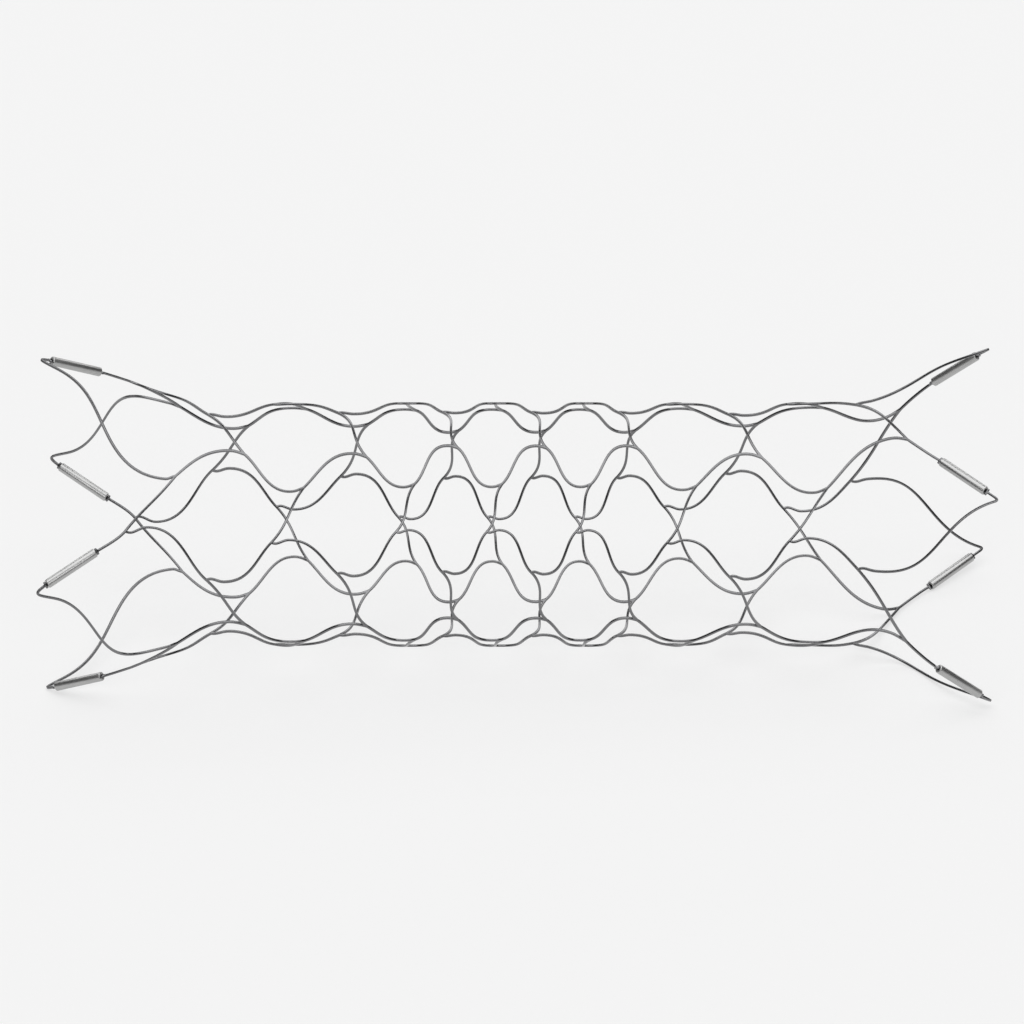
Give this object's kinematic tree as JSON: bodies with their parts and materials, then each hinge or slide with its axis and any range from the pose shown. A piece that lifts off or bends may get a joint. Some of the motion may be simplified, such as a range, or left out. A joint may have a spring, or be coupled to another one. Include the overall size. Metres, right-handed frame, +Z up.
{
  "type": "vascular stent",
  "caption": "Closed-cell self-expanding stent: a fine strut lattice tube, flared at both ends, with radiopaque marker sleeves on its end loops.",
  "frame": {"origin": "centre of the bounding box's underside: the ground that the stent lies on, under its middle", "axes": "+X along the stent, about two degrees off its own axis; +Z up as it lies; -Y towards the side that the picture sees, whose middle line is turned up to 35 degrees above the ground"},
  "size_m": [0.0176, 0.0064, 0.0064],
  "materials": {
    "strut_metal": "electropolished",
    "marker_metal": "polished"
  },
  "bodies": {
    "root": {"strut_lattice": "strut_metal", "marker_left_1": "marker_metal", "marker_left_2": "marker_metal", "marker_left_3": "marker_metal", "marker_left_4": "marker_metal", "marker_right_1": "marker_metal", "marker_right_2": "marker_metal", "marker_right_3": "marker_metal", "marker_right_4": "marker_metal"}
  },
  "joints": []
}
